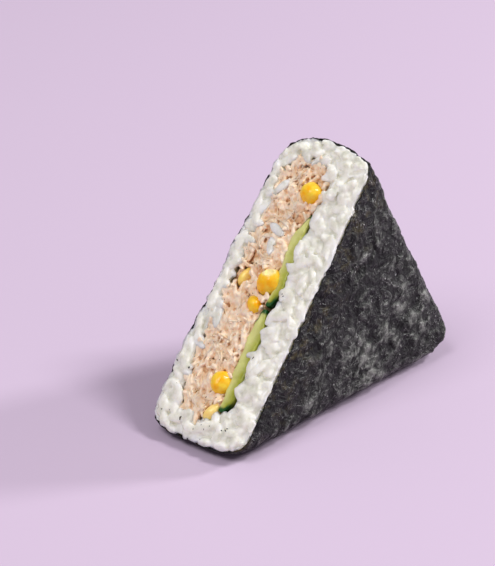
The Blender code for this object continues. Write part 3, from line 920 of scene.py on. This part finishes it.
def cucumber_round(node, material, tips):
    """A thin round: its rind shows where the cut meets the round's own edge. tips says how far each end,
    lower then upper, is drawn in, and which way it leans."""
    piece = copy_of(node, node + "_round")
    places = [CUT_INVERSE @ vert.co for vert in piece.data.vertices]
    lowest, highest = min(place.x for place in places), max(place.x for place in places)
    left, right = min(place.y for place in places), max(place.y for place in places)
    radius = (highest - lowest) / 2
    centre = Vector(((highest + lowest) / 2, (left + right) / 2, min(place.z for place in places) + radius))
    finish_with(piece, "REMESH", mode="VOXEL", voxel_size=0.22 * MM)
    finish_with(piece, "SMOOTH", factor=0.5, iterations=6)
    rind, side = [], []
    for vert in piece.data.vertices:
        place = CUT_INVERSE @ vert.co
        across = (place.y - centre.y) / (right - left)
        out = math.hypot(place.x - centre.x, place.z - centre.z)
        # side runs across the round; the material paints its low side darker olive as painted shade.
        side.append(across + 0.5)
        tip = 0.0
        for sign, (draw, lean, reach) in zip((-1.0, 1.0), tips):
            end = centre.x + sign * radius
            share = 1.0 - smooth_step(abs(place.x - end), 0.0, reach * MM)
            place.y += share * (lean - draw * across * 2.0) * (right - left) / 2
            tip = max(tip, share)
        wave = noise_at(vert.co, 3.2 * MM, 2.0) * 0.35 + noise_at(vert.co, 1.1 * MM) * 0.12
        place.y += wave * MM * (0.6 + across)
        place.z += 0.25 * MM * noise_at(vert.co, 2.4 * MM, 7.0)
        edge = smooth_step(out, radius - 1.5 * MM, radius - 0.7 * MM)
        streak = smooth_step(abs(across), 0.26, 0.46) * smooth_step(tip, 0.15, 0.7)
        rind.append(min(edge + streak, 1.0))
        vert.co = CUT @ place
    piece.data.update()
    paint(piece, "rind", rind)
    paint(piece, "side", side)
    return show(piece, material, "cucumber", node)


def kernel(node, material, plump=1.2, sunk=0.0, pale=0.0, open_end=False):
    """A sweetcorn kernel, plump and glossy. Sliced or blanched ones are pale, and some are sunk in the tuna."""
    piece = copy_of(node, node + "_kernel")
    middle = sum((vert.co for vert in piece.data.vertices), Vector()) / len(piece.data.vertices)
    edit(piece)
    bpy.ops.mesh.select_all(action="SELECT")
    bpy.ops.mesh.tris_convert_to_quads()
    bpy.ops.transform.resize(value=(plump, plump, plump), center_override=middle)
    bpy.ops.transform.translate(value=-OUT * sunk * MM)
    if open_end:
        end = (CUT.to_3x3() @ Vector((0.62, 0.05, 0.78))).normalized()
        bpy.ops.mesh.select_all(action="DESELECT")
        pick(piece, "faces", lambda face: face.normal.dot(end) > 0.86)
        bpy.ops.mesh.inset(thickness=0.35 * MM, depth=0.15 * MM)
        bpy.ops.mesh.inset(thickness=0.25 * MM, depth=-0.7 * MM)
    done()
    finish_with(piece, "SUBSURF", levels=3, render_levels=3)
    pales = []
    for vert in piece.data.vertices:
        open_share = 0.0
        if open_end:
            open_share = smooth_step((vert.co - middle).normalized().dot(end), 0.84, 0.94)
        pales.append(max(pale, open_share))
    piece.data.attributes.new("pale", "FLOAT", "POINT").data.foreach_set("value", pales)
    move_points(piece, lambda place, normal: MM * (0.34 * noise_at(place, 2.8 * MM, 4.0)
                                                   + 0.08 * noise_at(place, 1.1 * MM)))
    return show(piece, material, "corn", node)


# ---------------------------------------------------------------- stage

def stage():
    bpy.ops.mesh.primitive_plane_add(size=FLOOR_SIZE)
    floor = bpy.context.object
    floor.name = "floor"
    floor.data.materials.append(plain_floor())

    world = bpy.data.worlds.new("studio")
    bpy.context.scene.world = world
    world.use_nodes = True
    background = world.node_tree.nodes["Background"]
    background.inputs["Color"].default_value = colour("#efe6f4")
    background.inputs["Strength"].default_value = 0.32

    for name, azimuth, elevation, distance, size, power in (
            ("key", 42, 50, 1.5, 0.36, 13.0),
            ("face_fill", -88, 55, 1.5, 0.8, 11.5),
            ("side_sheen", 64, 22, 1.5, 0.24, 15.0)):
        light = bpy.data.lights.new(name, "AREA")
        light.shape = "DISK"
        light.size = size
        light.energy = power
        lamp = bpy.data.objects.new(name, light)
        bpy.context.scene.collection.objects.link(lamp)
        aim(lamp, math.radians(azimuth), math.radians(elevation), distance, Vector((0, 0, 0.03)))


def aim(thing, azimuth, elevation, distance, target):
    """Put a lamp or camera at an azimuth and elevation from its target, facing it."""
    back = Vector((math.sin(azimuth) * math.cos(elevation), -math.cos(azimuth) * math.cos(elevation),
                   math.sin(elevation)))
    thing.location = target + back * distance
    thing.rotation_euler = (-back).to_track_quat("-Z", "Y").to_euler()


def camera():
    lens = bpy.data.cameras.new("camera")
    lens.lens = CAMERA_LENS
    lens.clip_start = 0.01
    view = bpy.data.objects.new("camera", lens)
    bpy.context.scene.collection.objects.link(view)
    aim(view, CAMERA_AZIMUTH, CAMERA_ELEVATION, CAMERA_DISTANCE, CAMERA_TARGET)
    bpy.context.scene.camera = view


bpy.context.scene.view_settings.view_transform = "Standard"
camera()
stage()
seaweed = dried_seaweed()
nori_wrap(seaweed)
rice = steamed_rice()
rice_core(rice)
rice_grains(rice)
nori_crumbs(seaweed)
tuna = shredded_tuna()
tuna_core(tuna)
tuna_crumbs(tuna)
tuna_fibres(tuna)
flesh = cucumber_flesh()
cucumber_round("cucumber_upper", flesh, ((0.45, 0.25, 5.0), (0.75, -0.35, 6.5)))
cucumber_round("cucumber_lower", flesh, ((0.55, 0.2, 4.0), (0.6, 0.35, 5.5)))
corn = cooked_corn()
kernel("corn_1", corn)
kernel("corn_2", corn, open_end=True)
kernel("corn_3", corn)
kernel("corn_4", corn)
kernel("corn_5", corn, plump=1.1, sunk=0.3, pale=0.6)
kernel("corn_6", corn, plump=1.0, sunk=0.25, pale=0.4)
